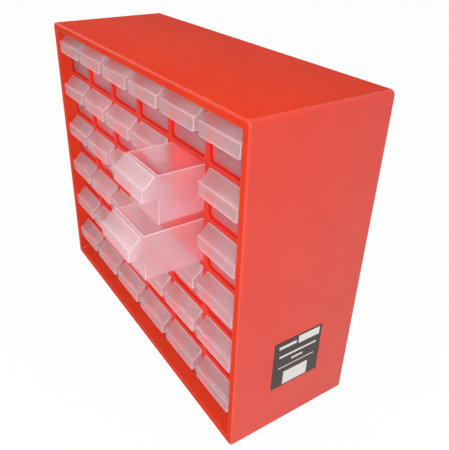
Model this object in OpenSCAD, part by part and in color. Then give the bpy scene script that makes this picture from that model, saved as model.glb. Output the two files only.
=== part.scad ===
// Parts bin cabinet: a red moulded casing with a grid of small see-through
// drawers, each with a hooded front that carries a label and a finger grip.
// Millimetres. +Z is up, the drawers open towards -Y, and the origin is the
// centre of the base. Row 1 is the top row and column 1 is the left column.

/* [Cabinet] */
// Width of the casing, side to side
cabinet_w = 405; // [340:1:480]
// Height of the casing
cabinet_h = 336; // [280:1:400]
// Depth of the casing, front rim to back panel
cabinet_d = 145; // [120:1:180]
// Drawers side by side
columns = 6; // [4:1:7]
// Drawers one above another
rows = 6; // [4:1:6]

/* [Casing] */
// Width of the front rim, seen from the front
rim_w = 8; // [7:0.5:11]
// How far the drawer grid lies behind the front rim
recess = 13; // [12.5:0.5:20]
// Corner radius of the recess inside the rim
recess_r = 2; // [1:0.5:4]
// Thickness of the casing's outer skin
outer_skin = 2.4; // [1.8:0.1:2.6]
// Thickness of the casing's inner skin
inner_skin = 2; // [1.4:0.1:2.4]
// Radius of the four long edges that run front to back
edge_r = 5; // [3:0.5:8]
// Radius of the outer edge of the front rim
rim_r = 2; // [1:0.5:2.5]

/* [Drawer grid] */
// Width of an upright bar of the grid
bar_w = 6.4; // [5.6:0.2:8]
// Height of a level bar of the grid
bar_h = 4.4; // [3.6:0.2:6]
// Thickness of the grid plate
grid_t = 2.5; // [1.6:0.1:4]
// Radius of the two lower corners of a window
window_r = 4; // [2:0.5:6]
// Radius of the two upper corners of a window
window_top_r = 1.2; // [0.6:0.1:1.4]

/* [Shelves and dividers] */
// Thickness of a shelf
shelf_t = 2; // [1.4:0.1:2.2]
// Depth of the lip under a shelf's front edge that stops a drawer
lip_d = 3; // [2:0.5:6]
// Thickness of each skin of a hollow divider
divider_skin = 1.6; // [1.2:0.1:2.2]
// Clearance where boards and panels slot into each other
fit_gap = 0.15; // [0.1:0.05:0.4]

/* [Back panel] */
// Thickness of the back panel
back_t = 2.5; // [2:0.1:4]
// Diameter of a back screw
screw_d = 2.5; // [2:0.1:3]
// Diameter of a back screw's countersunk head
screw_head_d = 4.8; // [4:0.1:5.2]
// Length of a back screw
screw_l = 12; // [8:1:16]
// Radial clearance round a screw and its head
screw_gap = 0.05; // [0.02:0.01:0.1]
// Length of a screw block, up the casing's side
block_l = 12; // [8:1:20]
// Depth of a screw block, front to back
block_d = 18; // [18:1:30]
// Distance from a corner screw to the casing's top or bottom
screw_inset = 24; // [18:1:40]
// Diameter of a keyhole's round opening, for a wall screw's head
keyhole_d = 9; // [7:0.5:11]
// Width of a keyhole's slot, for a wall screw's shank
keyhole_slot = 4.5; // [3.5:0.5:5.5]
// Distance from a keyhole's round opening up to the end of its slot
keyhole_rise = 9; // [7:0.5:12]

/* [Drawers] */
// Gap between a drawer and each side of its window
side_gap = 0.45; // [0.3:0.05:0.8]
// Running gap under a drawer
floor_gap = 0.3; // [0.2:0.05:0.5]
// Gap between a drawer's top edge and its window's top edge
top_gap = 0.9; // [0.7:0.1:1.4]
// How far a closed drawer's front wall lies behind the grid's face
front_inset = 3.5; // [1:0.5:5]
// Space behind a closed drawer
rear_space = 4; // [2:0.5:10]
// Thickness of a drawer's walls
wall_t = 1.4; // [1:0.1:2]
// Thickness of a drawer's floor
floor_t = 1.5; // [1:0.1:2.5]
// Height of the ridge behind a drawer that stops it when it closes
ridge_h = 1.6; // [1:0.1:3]
// Gap between a closed drawer and that ridge
ridge_gap = 0.3; // [0.2:0.05:0.5]
// Width of the stop tab on a drawer's rear wall
tab_w = 20; // [10:1:30]
// Height of the stop tab over the drawer's top edge
tab_h = 2; // [1.6:0.1:2.2]
// How far the drawer in row 2, column 5 stands open
pull_row_2 = 48.5; // [0:0.5:100]
// How far the drawer in row 3, column 5 stands open
pull_row_3 = 63.5; // [0:0.5:100]

/* [Drawer handle] */
// Depth of the level land on top of the handle
land_d = 3.3; // [2.5:0.1:6]
// Drop from the drawer's top edge to the land
land_drop = 0.3; // [0:0.1:1]
// How far the sloped label panel runs forward
panel_run = 8.7; // [6:0.1:10]
// Height of the sloped label panel
panel_h = 9.2; // [6:0.1:14]
// Depth of the ledge under the label panel
ledge_d = 3; // [1.8:0.1:4]
// Height of the finger grip's face
grip_h = 13.5; // [8:0.5:18]
// Radius of the grip's two lower corners
grip_r = 3; // [1.5:0.5:5]
// Thickness of the handle's walls
handle_t = 1.5; // [1:0.1:2]

/* [Side label] */
// Width of the side label, front to back
label_w = 58.5; // [30:0.5:70]
// Height of the side label
label_h = 59; // [30:1:80]
// Thickness of the side label
label_t = 0.2; // [0.1:0.05:0.4]
// Distance from the front rim to the side label
label_from_front = 44; // [20:1:50]
// Height of the side label's lower edge over the base
label_up = 53; // [10:1:150]

/* [Hidden] */
$fn = 48;
overlap = 1;
open_column = 5;
front_y = -cabinet_d / 2;
rear_y = cabinet_d / 2;

// Pitch of the cells, and the clear size of a window and of the space behind it
pitch_x = (cabinet_w - 2 * rim_w) / columns;
pitch_z = (cabinet_h - 2 * rim_w) / rows;
cell_w = pitch_x - bar_w;
cell_h = pitch_z - bar_h;
head_room = bar_h - shelf_t;
tunnel_w = cabinet_w - 2 * rim_w - bar_w;
tunnel_floor = rim_w + bar_h / 2;
tunnel_top = cabinet_h - rim_w - bar_h / 2;

// Planes from front to back
grid_y = front_y + recess;
board_y = grid_y + grid_t;
lip_y = board_y + lip_d;
panel_y = rear_y - back_t;
board_rear_y = panel_y - fit_gap;
board_mid_y = (board_y + board_rear_y) / 2;

// The hollow between the casing's skins, and the screw blocks that cross it
hollow_x = tunnel_w / 2 + inner_skin;
hollow_w = cabinet_w / 2 - outer_skin - hollow_x;
screw_x = hollow_x + hollow_w / 2;
screw_heights = [screw_inset, cabinet_h / 2, cabinet_h - screw_inset];
screw_head_l = (screw_head_d - screw_d) / 2;
seat_r = max(edge_r - outer_skin, 0.5);

// A drawer's body. It slides out until its tab meets the lip over its window
drawer_w = cell_w - 2 * side_gap;
drawer_h = cell_h - floor_gap - top_gap;
drawer_y = grid_y + front_inset;
drawer_d = panel_y - rear_space - drawer_y;
drawer_r = window_r - side_gap;

// Centre of a column, and of the divider to the right of it
function column_x(column) = (column - (columns + 1) / 2) * pitch_x;
function divider_x(column) = (column - columns / 2) * pitch_x;
// Height of the floor of a row
function row_floor(row) = cabinet_h - rim_w - row * pitch_z + bar_h / 2;
// How far a drawer stands open
function pull(row, column) =
    column != open_column ? 0 : row == 2 ? pull_row_2 : row == 3 ? pull_row_3 : 0;

// Extrudes a front view, drawn in X and Z, from the plane y over the depth d
module front_view(y, d) {
    translate([0, y + d, 0]) rotate([90, 0, 0]) linear_extrude(d) children();
}

// Extrudes a side view, drawn in Y and Z, over the width w about the middle
module side_view(w) {
    translate([-w / 2, 0, 0]) rotate([90, 0, 90]) linear_extrude(w) children();
}

// A box given by its middle in X, its front plane and its base
module slab(x, y, z, w, d, h) {
    translate([x - w / 2, y, z]) cube([w, d, h]);
}

// Rectangle on the base line with rounded lower and upper corners
module window_outline(w, h, low_r, high_r) {
    translate([-w / 2, low_r]) square([w, h - low_r - high_r]);
    translate([low_r - w / 2, 0]) square([w - 2 * low_r, h]);
    translate([high_r - w / 2, h / 2]) square([w - 2 * high_r, h / 2]);
    for (side = [-1, 1]) {
        translate([side * (w / 2 - low_r), low_r]) circle(low_r);
        translate([side * (w / 2 - high_r), h - high_r]) circle(high_r);
    }
}

// Section through the casing's outer edge: depth along Y, rounded at the rim
module edge_section() {
    difference() {
        square([edge_r, cabinet_d]);
        translate([edge_r - rim_r, 0]) square([rim_r, rim_r]);
    }
    intersection() {
        translate([edge_r - rim_r, rim_r]) circle(rim_r);
        translate([edge_r - rim_r, 0]) square([rim_r, rim_r]);
    }
}

// The casing's outside as one solid block with rounded edges
module casing_block() {
    flat_w = cabinet_w - 2 * edge_r;
    flat_h = cabinet_h - 2 * edge_r;
    slab(0, front_y, edge_r, flat_w, cabinet_d, flat_h);
    translate([0, front_y, cabinet_h / 2]) for (turn = [0:3]) {
        across = turn % 2 == 0 ? flat_w : flat_h;
        up = turn % 2 == 0 ? flat_h : flat_w;
        rotate([0, turn * 90, 0]) {
            translate([across / 2, 0, -up / 2]) linear_extrude(up) edge_section();
            translate([across / 2, 0, up / 2]) rotate([-90, -90, 0])
                rotate_extrude(angle = 90) edge_section();
        }
    }
}

// The hollow between the two skins, open at the back, less the screw blocks
module casing_hollow() {
    hollow_y = board_y + outer_skin;
    depth = rear_y - hollow_y + overlap;
    floor_z = tunnel_floor - inner_skin;
    top_z = tunnel_top + head_room + inner_skin;
    difference() {
        front_view(hollow_y, depth) translate([0, outer_skin])
            window_outline(cabinet_w - 2 * outer_skin, cabinet_h - 2 * outer_skin, seat_r, seat_r);
        slab(0, hollow_y - overlap, floor_z, 2 * hollow_x, depth + 2 * overlap, top_z - floor_z);
        for (side = [-1, 1], height = screw_heights)
            slab(side * screw_x, panel_y - block_d, height - block_l / 2,
                hollow_w + 2 * overlap, block_d, block_l);
    }
}

module casing() {
    color("#DC3A28") difference() {
        casing_block();
        // Recess that holds the drawer grid
        front_view(front_y - overlap, recess + grid_t + overlap) translate([0, rim_w])
            window_outline(cabinet_w - 2 * rim_w, cabinet_h - 2 * rim_w, recess_r, recess_r);
        // Space for the shelves, dividers and drawers
        slab(0, grid_y, tunnel_floor, tunnel_w, cabinet_d, tunnel_top - tunnel_floor);
        slab(0, lip_y, tunnel_top - overlap, tunnel_w, cabinet_d, head_room + overlap);
        casing_hollow();
        // Seat of the back panel
        front_view(panel_y, back_t + overlap) translate([0, outer_skin])
            window_outline(cabinet_w - 2 * outer_skin, cabinet_h - 2 * outer_skin, seat_r, seat_r);
        // Pilot holes for the back screws
        for (side = [-1, 1], height = screw_heights)
            translate([side * screw_x, panel_y + overlap, height]) rotate([90, 0, 0])
                cylinder(r = screw_d / 2 + screw_gap, h = screw_l + 2 * overlap);
    }
    color("#DC3A28") ridges(rows, inner_skin);
}

// Ridges behind the drawers of a row, with their feet sunk into the floor there
module ridges(row, sink) {
    ridge_y = drawer_y + drawer_d + ridge_gap;
    for (column = [1:columns])
        slab(column_x(column), ridge_y, row_floor(row) - sink / 2, cell_w - 2 * fit_gap,
            board_rear_y - ridge_y, sink / 2 + ridge_h);
}

module drawer_grid() {
    width = cabinet_w - 2 * rim_w - 2 * fit_gap;
    height = cabinet_h - 2 * rim_w - 2 * fit_gap;
    color("#E0402A") front_view(grid_y, grid_t) difference() {
        translate([0, rim_w + fit_gap]) window_outline(width, height, recess_r, recess_r);
        for (row = [1:rows], column = [1:columns])
            translate([column_x(column), row_floor(row)])
                window_outline(cell_w, cell_h, window_r, window_top_r);
    }
}

module shelf(row) {
    width = tunnel_w - 2 * fit_gap;
    depth = board_rear_y - board_y;
    color("#C83020") difference() {
        union() {
            slab(0, board_y, row_floor(row) - shelf_t, width, depth, shelf_t);
            slab(0, board_y, row_floor(row) - bar_h, width, lip_d, bar_h);
            ridges(row, shelf_t);
        }
        // Slots from the rear edge, one for each divider
        for (column = [1:columns - 1])
            slab(divider_x(column), board_mid_y, row_floor(row) - bar_h - overlap,
                bar_w + 2 * fit_gap, depth, bar_h + 2 * overlap);
    }
}

module divider(column) {
    base = tunnel_floor;
    height = tunnel_top - tunnel_floor - fit_gap;
    depth = board_rear_y - board_y;
    color("#D03424") difference() {
        slab(divider_x(column), board_y, base, bar_w, depth, height);
        // Hollow between the two skins, open at the rear edge
        slab(divider_x(column), board_y + divider_skin, base + divider_skin,
            bar_w - 2 * divider_skin, depth, height - 2 * divider_skin);
        // Slots from the front edge, one for each shelf and its lip
        for (row = [1:rows - 1]) {
            slab(divider_x(column), board_y - overlap, row_floor(row) - shelf_t - fit_gap,
                bar_w + 2 * overlap, board_mid_y - board_y + overlap, shelf_t + 2 * fit_gap);
            slab(divider_x(column), board_y - overlap, row_floor(row) - bar_h - fit_gap,
                bar_w + 2 * overlap, lip_d + fit_gap + overlap, bar_h + 2 * fit_gap);
        }
    }
}

// A screw's shape along -Y, from its head's outer face, with a clearance
module screw_shape(gap) {
    rotate([90, 0, 0]) {
        cylinder(r = screw_d / 2 + gap, h = screw_l);
        cylinder(r1 = screw_head_d / 2 + gap, r2 = screw_d / 2 + gap, h = screw_head_l);
    }
}

module back_screws() {
    color("silver") for (side = [-1, 1], height = screw_heights)
        translate([side * screw_x, rear_y, height]) screw_shape(0);
}

module back_panel() {
    width = cabinet_w - 2 * outer_skin - 2 * fit_gap;
    height = cabinet_h - 2 * outer_skin - 2 * fit_gap;
    color("#B82C1E") difference() {
        front_view(panel_y, back_t) translate([0, outer_skin + fit_gap])
            window_outline(width, height, seat_r, seat_r);
        for (side = [-1, 1], height = screw_heights)
            translate([side * screw_x, rear_y, height]) screw_shape(screw_gap);
        for (side = [-1, 1])
            translate([side * column_x(columns - 1), panel_y + back_t + overlap,
                row_floor(1) + cell_h / 2]) rotate([90, 0, 0]) keyhole();
    }
}

// Keyhole with its slot running up from the round opening
module keyhole() {
    depth = back_t + 2 * overlap;
    translate([0, -keyhole_rise / 2, 0]) cylinder(r = keyhole_d / 2, h = depth);
    translate([0, keyhole_rise / 2, 0]) cylinder(r = keyhole_slot / 2, h = depth);
    translate([-keyhole_slot / 2, -keyhole_rise / 2, 0])
        cube([keyhole_slot, keyhole_rise, depth]);
}

module side_label() {
    color("#5C4C4A") translate([cabinet_w / 2, front_y + label_from_front, label_up])
        cube([label_t, label_w, label_h]);
}

// Open-topped box of a drawer, with its top edge at z = 0 and its front at y = 0
module drawer_box() {
    inner_w = drawer_w - 2 * wall_t;
    inner_r = max(drawer_r - wall_t, 0.5);
    difference() {
        front_view(0, drawer_d) translate([0, -drawer_h]) tray_outline(drawer_w, drawer_h, drawer_r);
        front_view(wall_t, drawer_d - 2 * wall_t) translate([0, floor_t - drawer_h])
            tray_outline(inner_w, drawer_h + overlap, inner_r);
    }
    slab(0, drawer_d - wall_t, -overlap, tab_w, wall_t, tab_h + overlap);
}

// Rectangle on the base line with two rounded lower corners
module tray_outline(w, h, r) {
    translate([-w / 2, r]) square([w, h - r]);
    translate([r - w / 2, 0]) square([w - 2 * r, h]);
    for (side = [-1, 1]) translate([side * (w / 2 - r), r]) circle(r);
}

// Hooded front of a drawer, in the drawer box's own place
module drawer_handle() {
    panel_y_end = land_d + panel_run;
    panel_z = land_drop + panel_h;
    grip_z = panel_z + grip_h;
    slope = panel_h / panel_run;
    // How far a wall's thickness shifts the panel's inner face along Y
    panel_shift = handle_t * sqrt(1 + 1 / (slope * slope));
    inner_z = land_drop + handle_t;
    ledge_z = panel_z + handle_t;
    intersection() {
        difference() {
            side_view(drawer_w) polygon([
                [wall_t / 2, -land_drop], [-land_d, -land_drop], [-panel_y_end, -panel_z],
                [-panel_y_end - ledge_d, -panel_z], [-panel_y_end - ledge_d, -grip_z],
                [wall_t / 2, -grip_z]
            ]);
            side_view(drawer_w - 2 * handle_t) polygon([
                [0, -inner_z],
                [panel_shift - land_d - handle_t / slope, -inner_z],
                [panel_shift - panel_y_end - handle_t / slope, -ledge_z],
                [handle_t - panel_y_end - ledge_d, -ledge_z],
                [handle_t - panel_y_end - ledge_d, -grip_z - overlap],
                [0, -grip_z - overlap]
            ]);
        }
        front_view(-panel_y_end - ledge_d, panel_y_end + ledge_d + wall_t)
            translate([0, -grip_z]) tray_outline(drawer_w, grip_z, grip_r);
    }
}

module drawer(row, column) {
    color("#E6C8C8", 0.75)
        translate([column_x(column), drawer_y - pull(row, column), row_floor(row) + floor_gap + drawer_h]) {
            drawer_box();
            drawer_handle();
        }
}

casing();
drawer_grid();
back_panel();
back_screws();
side_label();
for (row = [1:rows - 1])
    shelf(row);
for (column = [1:columns - 1])
    divider(column);
for (row = [1:rows], column = [1:columns])
    drawer(row, column);
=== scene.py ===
"""Dresses the parts bin cabinet: materials, softened mouldings, label, lights and camera."""
import math

import bmesh
import bpy
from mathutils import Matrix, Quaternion, Vector


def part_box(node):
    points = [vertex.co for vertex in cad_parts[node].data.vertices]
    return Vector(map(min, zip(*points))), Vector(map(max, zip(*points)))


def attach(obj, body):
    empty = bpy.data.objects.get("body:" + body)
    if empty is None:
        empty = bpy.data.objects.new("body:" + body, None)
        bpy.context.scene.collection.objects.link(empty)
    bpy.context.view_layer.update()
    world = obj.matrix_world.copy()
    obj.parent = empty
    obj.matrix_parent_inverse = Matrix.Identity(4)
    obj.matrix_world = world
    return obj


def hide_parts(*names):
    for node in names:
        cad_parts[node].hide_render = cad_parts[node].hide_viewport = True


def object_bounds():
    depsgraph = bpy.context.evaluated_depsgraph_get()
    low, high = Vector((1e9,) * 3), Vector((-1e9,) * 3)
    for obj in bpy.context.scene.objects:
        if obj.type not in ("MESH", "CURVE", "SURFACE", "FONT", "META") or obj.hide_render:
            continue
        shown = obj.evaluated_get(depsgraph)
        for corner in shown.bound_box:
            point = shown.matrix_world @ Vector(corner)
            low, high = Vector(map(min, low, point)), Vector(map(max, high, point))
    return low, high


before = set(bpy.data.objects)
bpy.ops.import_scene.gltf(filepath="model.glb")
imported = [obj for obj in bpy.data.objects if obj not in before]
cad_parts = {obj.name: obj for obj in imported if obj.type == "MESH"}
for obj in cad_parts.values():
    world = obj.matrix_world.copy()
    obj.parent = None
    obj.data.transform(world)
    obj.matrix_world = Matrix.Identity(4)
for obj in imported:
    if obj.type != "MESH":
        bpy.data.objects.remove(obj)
cad_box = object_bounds()

MM = 0.001
# Rows and columns of drawers
GRID = 6
# How far a drawer's hood stands ahead of its front wall
HOOD_REACH = 15 * MM
# A face whose normal is this close to an axis is flat, and not part of a fillet
FLAT_NORMAL = 0.995
# Edges of the CAD shapes that bend more than this are rounded
SHARP_EDGE = math.radians(35)

# The photograph's camera: where it stands, what it looks at, its roll and its framing
CAMERA_PLACE = Vector((0.4746, -0.2836, 0.4622))
CAMERA_TARGET = Vector((0.0349, -0.0006, 0.1680))
CAMERA_ROLL = math.radians(0.94)
PHOTO_WIDTH = 449
PHOTO_HEIGHT = 450
FOCAL_PIXELS = 535.9
AXIS_PIXEL = (204.1, 207.8)

# Where the lamps point
LAMP_TARGET = Vector((0, 0, 0.15))


def new_material(name):
    """A node material, its node tree and its Principled shader."""
    material = bpy.data.materials.new(name)
    material.use_nodes = True
    tree = material.node_tree
    return material, tree, tree.nodes["Principled BSDF"]


def object_noise(tree, scale, detail, roughness=0.5):
    """Noise in the object's own metres, so that it keeps its scale on every piece."""
    place = tree.nodes.new("ShaderNodeTexCoord")
    noise = tree.nodes.new("ShaderNodeTexNoise")
    noise.inputs["Scale"].default_value = scale
    noise.inputs["Detail"].default_value = detail
    noise.inputs["Roughness"].default_value = roughness
    tree.links.new(place.outputs["Object"], noise.inputs["Vector"])
    return noise.outputs["Fac"]


def ramp(tree, fac, low, high, start=0.3, end=0.7):
    """Colours between low and high as fac goes from start to end."""
    node = tree.nodes.new("ShaderNodeValToRGB")
    node.color_ramp.elements[0].position = start
    node.color_ramp.elements[1].position = end
    node.color_ramp.elements[0].color = (*low, 1)
    node.color_ramp.elements[1].color = (*high, 1)
    tree.links.new(fac, node.inputs["Fac"])
    return node.outputs["Color"]


def spread(tree, fac, low, high):
    """A number between low and high that follows fac."""
    node = tree.nodes.new("ShaderNodeMapRange")
    node.inputs["To Min"].default_value = low
    node.inputs["To Max"].default_value = high
    tree.links.new(fac, node.inputs["Value"])
    return node.outputs["Result"]


def bump(tree, shader, height, strength, distance):
    """Bump of the given depth in metres on a shader."""
    node = tree.nodes.new("ShaderNodeBump")
    node.inputs["Strength"].default_value = strength
    node.inputs["Distance"].default_value = distance
    tree.links.new(height, node.inputs["Height"])
    tree.links.new(node.outputs["Normal"], shader.inputs["Normal"])


def red_plastic(name, deep, bright, roughness, gloss):
    """Moulded red polystyrene: slight colour drift, satin gloss and a fine skin."""
    material, tree, shader = new_material(name)
    drift = object_noise(tree, 14, 3)
    tree.links.new(ramp(tree, drift, deep, bright), shader.inputs["Base Color"])
    flow = object_noise(tree, 60, 4)
    gloss_range = spread(tree, flow, roughness - 0.05, roughness + 0.05)
    tree.links.new(gloss_range, shader.inputs["Roughness"])
    shader.inputs["Specular IOR Level"].default_value = gloss
    bump(tree, shader, object_noise(tree, 900, 2), 0.25, 0.02 * MM)
    return material


def frosted_plastic(name, low, high, veil, through):
    """Milky polypropylene: part seen straight through, part blurred, part white.

    veil is the share that isn't seen straight through, and through is the share
    of the veil that lets light pass blurred.
    """
    material, tree, shader = new_material(name)
    haze = object_noise(tree, 35, 3)
    tree.links.new(ramp(tree, haze, low, high, 0.1, 0.9), shader.inputs["Base Color"])
    tree.links.new(spread(tree, haze, veil, veil + 0.05), shader.inputs["Alpha"])
    flow = object_noise(tree, 120, 3)
    tree.links.new(spread(tree, flow, 0.36, 0.42), shader.inputs["Roughness"])
    shader.inputs["Transmission Weight"].default_value = through
    shader.inputs["IOR"].default_value = 1.1
    bump(tree, shader, object_noise(tree, 500, 2), 0.2, 0.005 * MM)
    return material


def drawer_edge_highlight():
    """Drawer edges made whiter and denser: painted highlight of light that runs in the walls and
    out here.
    """
    material, tree, shader = new_material("drawer_edge")
    haze = object_noise(tree, 60, 3)
    tint = ramp(tree, haze, (0.99, 0.84, 0.89), (1, 0.90, 0.93))
    tree.links.new(tint, shader.inputs["Base Color"])
    tree.links.new(spread(tree, haze, 0.4, 0.5), shader.inputs["Alpha"])
    tree.links.new(spread(tree, haze, 0.2, 0.3), shader.inputs["Roughness"])
    return material


def zinc_steel():
    """Zinc plated steel of the back screws."""
    material, tree, shader = new_material("screw_zinc")
    patches = object_noise(tree, 1500, 3)
    zinc = ramp(tree, patches, (0.52, 0.53, 0.55), (0.66, 0.66, 0.67))
    tree.links.new(zinc, shader.inputs["Base Color"])
    tree.links.new(spread(tree, patches, 0.25, 0.45), shader.inputs["Roughness"])
    shader.inputs["Metallic"].default_value = 1
    return material


def label_film():
    """Film of the side label: a dark ground with blank pale fields and rules."""
    material, tree, shader = new_material("label_film")
    low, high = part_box("side_label")
    place = tree.nodes.new("ShaderNodeTexCoord")
    axes = tree.nodes.new("ShaderNodeSeparateXYZ")
    tree.links.new(place.outputs["Object"], axes.inputs["Vector"])

    def inside(axis, start, end):
        """1 between two shares of the label's size along an axis, else 0."""
        size = high[axis] - low[axis]
        centre = low[axis] + size * (start + end) / 2
        node = tree.nodes.new("ShaderNodeMath")
        node.operation = "COMPARE"
        node.inputs[1].default_value = centre
        node.inputs[2].default_value = size * (end - start) / 2
        tree.links.new(axes.outputs[axis], node.inputs[0])
        return node.outputs["Value"]

    def both(first, second, operation="MULTIPLY"):
        """The two values joined: their product, or what operation says."""
        node = tree.nodes.new("ShaderNodeMath")
        node.operation = operation
        tree.links.new(first, node.inputs[0])
        tree.links.new(second, node.inputs[1])
        return node.outputs["Value"]

    # Blank fields and rules in place of print: their ends along Y and along Z
    fields = [(0.24, 0.76, 0.025, 0.31), (0.5, 0.95, 0.81, 0.965), (0.1, 0.46, 0.84, 0.9),
              (0.12, 0.9, 0.65, 0.69), (0.38, 0.62, 0.53, 0.57), (0.12, 0.88, 0.42, 0.44)]
    print_fields = None
    for left, right, bottom, top in fields:
        field = both(inside(1, left, right), inside(2, bottom, top))
        print_fields = both(print_fields, field, "MAXIMUM") if print_fields else field
    ground = ramp(tree, object_noise(tree, 300, 3), (0.042, 0.030, 0.028), (0.055, 0.040, 0.038))
    mix = tree.nodes.new("ShaderNodeMix")
    mix.data_type = "RGBA"
    ink = ramp(tree, object_noise(tree, 900, 2), (0.56, 0.55, 0.54), (0.68, 0.67, 0.66))
    tree.links.new(print_fields, mix.inputs["Factor"])
    # Sockets 6, 7 and output 2 are the colour ones of this node
    tree.links.new(ground, mix.inputs[6])
    tree.links.new(ink, mix.inputs[7])
    tree.links.new(mix.outputs[2], shader.inputs["Base Color"])
    shader.inputs["Roughness"].default_value = 0.45
    shader.inputs["Specular IOR Level"].default_value = 0.25
    return material


def casing_face(face):
    """Material of a casing face: 1 on the sides and long fillets, 2 on the rim's, else 0."""
    if max(abs(part) for part in face.normal) < FLAT_NORMAL:
        return 2 if face.normal.y < -0.1 else 1
    return 1 if abs(face.calc_center_median().x) > cad_box[1].x - 1 * MM else 0


def panel_face(face):
    """Material of a back panel face: 1 on the outer one, as on the casing's sides, else 0."""
    return 1 if face.normal.y > 0.5 else 0


def hood_face(node):
    """Gives the material of a drawer's faces: 1 on the hood, ahead of the front wall, else 0."""
    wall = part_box(node)[0].y + HOOD_REACH
    return lambda face: 1 if face.calc_center_median().y < wall - 0.1 * MM else 0


def softened(node, radius, materials, body, pick=None, smooth=True):
    """Stands for a CAD node with a copy of its shape whose outer sharp edges are rounded.

    The last material is on the rounded edges. The other faces have the first one,
    or the one that pick names. A large flat face with holes in it gets streaks from
    smooth shading, so its piece takes smooth=False.
    """
    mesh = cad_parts[node].data.copy()
    mesh.materials.clear()
    for material in materials:
        mesh.materials.append(material)
    last = len(materials) - 1
    work = bmesh.new()
    work.from_mesh(mesh)
    bmesh.ops.remove_doubles(work, verts=work.verts, dist=0.002 * MM)
    nearly_flat = math.radians(0.5)
    bmesh.ops.dissolve_limit(work, angle_limit=nearly_flat, verts=work.verts, edges=work.edges)
    weight = work.edges.layers.float.new("bevel_weight_edge")
    for edge in work.edges:
        sharp = edge.is_manifold and edge.calc_face_angle() > SHARP_EDGE and edge.is_convex
        edge[weight] = 1 if sharp else 0
    for face in work.faces:
        face.smooth = smooth
        face.material_index = pick(face) if pick else 0
    work.to_mesh(mesh)
    work.free()
    piece = bpy.data.objects.new(node + "_moulding", mesh)
    bpy.context.scene.collection.objects.link(piece)
    soft = piece.modifiers.new("edge", "BEVEL")
    soft.width = radius
    soft.segments = 2
    soft.limit_method = "WEIGHT"
    soft.use_clamp_overlap = False
    soft.harden_normals = True
    soft.material = last
    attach(piece, body)
    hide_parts(node)


def make_camera():
    """The camera of the photograph, from the pinhole fit."""
    data = bpy.data.cameras.new("camera")
    camera = bpy.data.objects.new("camera", data)
    bpy.context.scene.collection.objects.link(camera)
    bpy.context.scene.camera = camera
    data.sensor_fit = "HORIZONTAL"
    data.lens = FOCAL_PIXELS / PHOTO_WIDTH * data.sensor_width
    data.shift_x = (PHOTO_WIDTH / 2 - AXIS_PIXEL[0]) / PHOTO_WIDTH
    data.shift_y = (AXIS_PIXEL[1] - PHOTO_HEIGHT / 2) / PHOTO_WIDTH
    data.clip_start = 0.01
    ahead = (CAMERA_TARGET - CAMERA_PLACE).to_track_quat("-Z", "Y")
    camera.rotation_mode = "QUATERNION"
    camera.rotation_quaternion = ahead @ Quaternion((0, 0, 1), CAMERA_ROLL)
    camera.location = CAMERA_PLACE


def make_lamp(name, place, size, power):
    """A round soft lamp that points at the cabinet."""
    data = bpy.data.lights.new(name, "AREA")
    data.shape = "DISK"
    data.size = size
    data.energy = power
    lamp = bpy.data.objects.new(name, data)
    bpy.context.scene.collection.objects.link(lamp)
    lamp.location = place
    lamp.rotation_mode = "QUATERNION"
    lamp.rotation_quaternion = (LAMP_TARGET - Vector(place)).to_track_quat("-Z", "Y")


def white_seen_directly(tree, lit, white, output):
    """Shows pure white to the camera and to mirror and see-through rays, and lit elsewhere."""
    rays = tree.nodes.new("ShaderNodeLightPath")
    seen = tree.nodes.new("ShaderNodeMath")
    seen.operation = "MAXIMUM"
    also = tree.nodes.new("ShaderNodeMath")
    also.operation = "MAXIMUM"
    mix = tree.nodes.new("ShaderNodeMixShader")
    tree.links.new(rays.outputs["Is Camera Ray"], seen.inputs[0])
    tree.links.new(rays.outputs["Is Glossy Ray"], seen.inputs[1])
    tree.links.new(seen.outputs["Value"], also.inputs[0])
    tree.links.new(rays.outputs["Is Transmission Ray"], also.inputs[1])
    tree.links.new(also.outputs["Value"], mix.inputs["Fac"])
    tree.links.new(lit, mix.inputs[1])
    tree.links.new(white, mix.inputs[2])
    tree.links.new(mix.outputs["Shader"], output)


def make_world():
    """Soft pale light from all round, seen as white."""
    world = bpy.data.worlds.new("studio")
    world.use_nodes = True
    bpy.context.scene.world = world
    tree = world.node_tree
    soft = tree.nodes["Background"]
    soft.inputs["Color"].default_value = (1, 0.98, 0.97, 1)
    soft.inputs["Strength"].default_value = 0.73
    white = tree.nodes.new("ShaderNodeBackground")
    white.inputs["Strength"].default_value = 1
    output = tree.nodes["World Output"].inputs["Surface"]
    white_seen_directly(tree, soft.outputs["Background"], white.outputs["Background"], output)


def make_floor():
    """Pale paper under the cabinet that keeps its shadow."""
    size = 4
    mesh = bpy.data.meshes.new("floor")
    work = bmesh.new()
    bmesh.ops.create_grid(work, x_segments=8, y_segments=8, size=size)
    work.to_mesh(mesh)
    work.free()
    floor = bpy.data.objects.new("floor", mesh)
    bpy.context.scene.collection.objects.link(floor)
    floor.location.z = -0.2 * MM
    material, tree, shader = new_material("floor_paper")
    shader.inputs["Base Color"].default_value = (0.9, 0.9, 0.9, 1)
    shader.inputs["Roughness"].default_value = 0.9
    glow = tree.nodes.new("ShaderNodeEmission")
    glow.inputs["Strength"].default_value = 1
    output = tree.nodes["Material Output"].inputs["Surface"]
    blend = tree.nodes.new("ShaderNodeMixShader")
    blend.inputs["Fac"].default_value = 0.94
    tree.links.new(shader.outputs["BSDF"], blend.inputs[1])
    tree.links.new(glow.outputs["Emission"], blend.inputs[2])
    white_seen_directly(tree, shader.outputs["BSDF"], blend.outputs["Shader"], output)
    mesh.materials.append(material)


def paint(node, material):
    """Gives a CAD node's object one material."""
    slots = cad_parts[node].data.materials
    slots.clear()
    slots.append(material)


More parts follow.
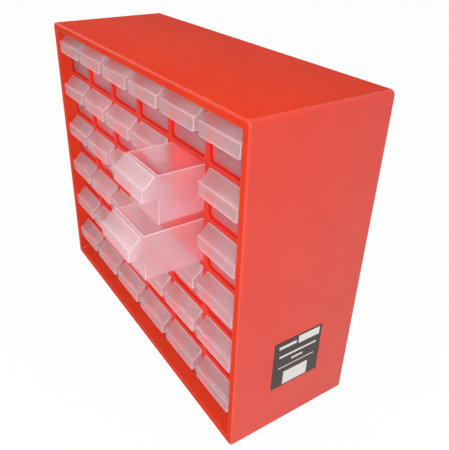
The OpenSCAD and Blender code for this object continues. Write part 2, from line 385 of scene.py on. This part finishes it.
def main():
    """Sets the stage and dresses every node of the frame."""
    scene = bpy.context.scene
    scene.view_settings.view_transform = "Standard"
    scene.cycles.max_bounces = 24
    scene.cycles.diffuse_bounces = 16
    scene.cycles.transparent_max_bounces = 40
    make_camera()
    make_world()
    make_floor()
    make_lamp("key", (0.97, -0.68, 0.74), 0.4, 7.2)
    make_lamp("fill", (0.15, -1.2, 0.95), 0.5, 1.4)
    make_lamp("top", (0.2, -0.2, 1.5), 0.6, 4.2)
    # Reds: darkest and brightest colour, roughness, share of gloss
    red = red_plastic("casing_polystyrene", (0.62, 0.037, 0.014), (0.65, 0.045, 0.018), 0.6, 0.02)
    red_side = red_plastic("casing_side", (0.61, 0.034, 0.016), (0.64, 0.042, 0.020), 0.5, 0.55)
    # The rim's fillets and the casing's rounded edges: the casing's red made lighter as a painted
    # highlight, with real extra gloss
    red_edge_highlight = red_plastic("casing_edge_highlight", (0.63, 0.042, 0.018), (0.67, 0.050, 0.022), 0.35, 0.5)
    # The grid is the casing's red plastic, brightened as painted light for the light that the
    # drawers bounce onto its bars
    brighter_grid_red = red_plastic(
        "grid_polystyrene_painted_light", (0.68, 0.034, 0.020), (0.72, 0.042, 0.024), 0.55, 0.1)
    # Shelves, dividers and the back panel's inner face: red plastic brightened far past the
    # casing's, painted light for light scattered into the cells through the frosted drawers
    glowing_board_red = red_plastic(
        "board_polystyrene_painted_glow", (0.97, 0.028, 0.016), (0.98, 0.034, 0.020), 0.5, 0.05)
    # Drawers: the two ends of the tint, the veil and the share that it lets through
    # The pink in these tints is painted light, for red light scattered in from the casing, on the
    # plastic's own milky white
    clear = frosted_plastic("drawer_wall", (0.996, 0.73, 0.81), (0.999, 0.79, 0.86), 0.3, 0.6)
    hood = frosted_plastic("drawer_hood", (0.92, 0.78, 0.81), (0.94, 0.83, 0.86), 0.36, 0.65)
    clear_edge_highlight = drawer_edge_highlight()
    softened("casing", 0.5 * MM, [red, red_side, red_edge_highlight], "cabinet", casing_face)
    softened("drawer_grid", 0.35 * MM, [brighter_grid_red], "cabinet")
    for number in range(1, GRID):
        paint(f"shelf_{number}", glowing_board_red)
        paint(f"divider_{number}", glowing_board_red)
    panel = [glowing_board_red, red_side]
    softened("back_panel", 0.2 * MM, panel, "cabinet", panel_face, smooth=False)
    paint("back_screws", zinc_steel())
    paint("side_label", label_film())
    drawer = [clear, hood, clear_edge_highlight]
    for row in range(1, GRID + 1):
        for column in range(1, GRID + 1):
            name = f"drawer_r{row}_c{column}"
            softened(name, 0.6 * MM, drawer, name, hood_face(name))


main()
